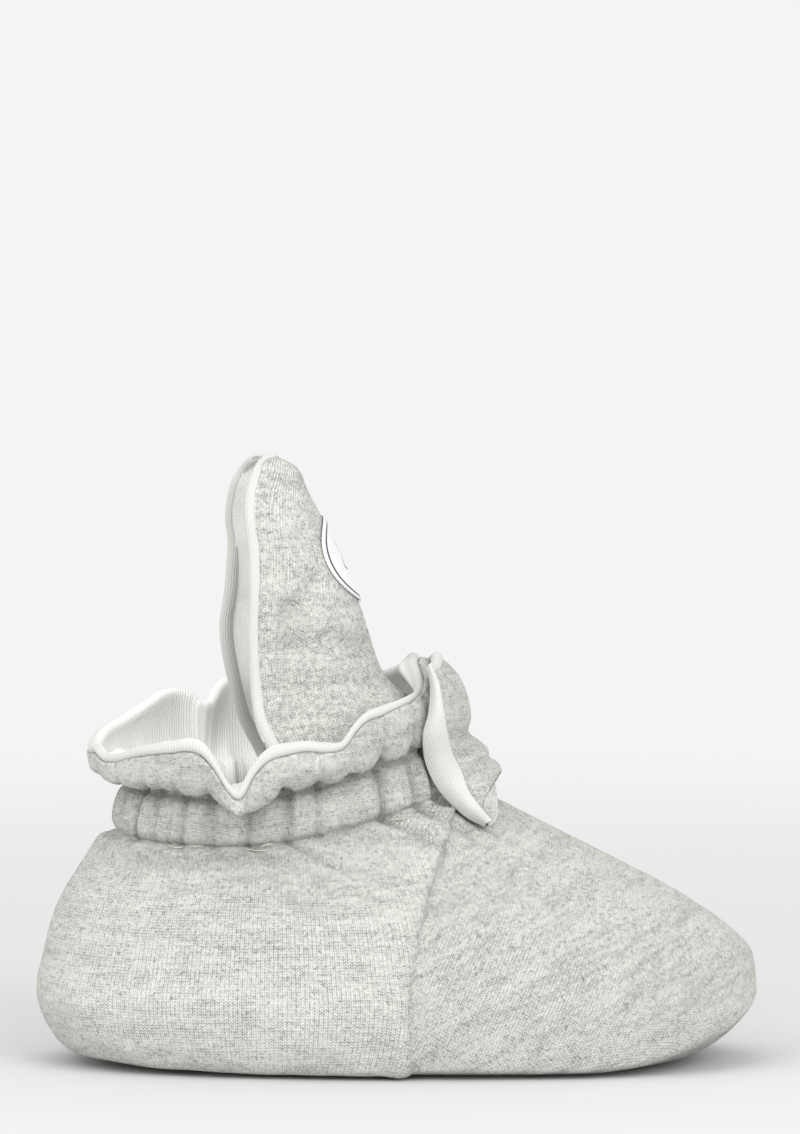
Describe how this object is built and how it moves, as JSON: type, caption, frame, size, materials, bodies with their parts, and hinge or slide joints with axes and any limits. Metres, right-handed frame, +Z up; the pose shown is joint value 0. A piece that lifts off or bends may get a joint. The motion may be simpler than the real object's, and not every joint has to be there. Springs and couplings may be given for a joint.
{
  "type": "bootie slipper",
  "caption": "Soft baby bootie of lined knit with a gathered elastic ankle, a ruffled collar, a tall cupped tongue and a wrap-over flap.",
  "frame": {"origin": "on the floor, under the middle of the shoe's length and width", "axes": "+X towards the toe, +Z up; the lap of the flap opens on the -Y side"},
  "size_m": [0.122, 0.058, 0.1024],
  "materials": {
    "knit": "pale grey heather double knit, brushed and matt",
    "sole_knit": "pale grey heather knit, padded and matt",
    "lining": "white ribbed knit, matt",
    "badge": "smooth white patch with a thin dark outline"
  },
  "bodies": {
    "root": {"sole": "sole_knit", "insole": "lining", "upper": "knit", "tongue": "knit", "wrap_flap": "knit", "badge": "badge"}
  },
  "joints": []
}
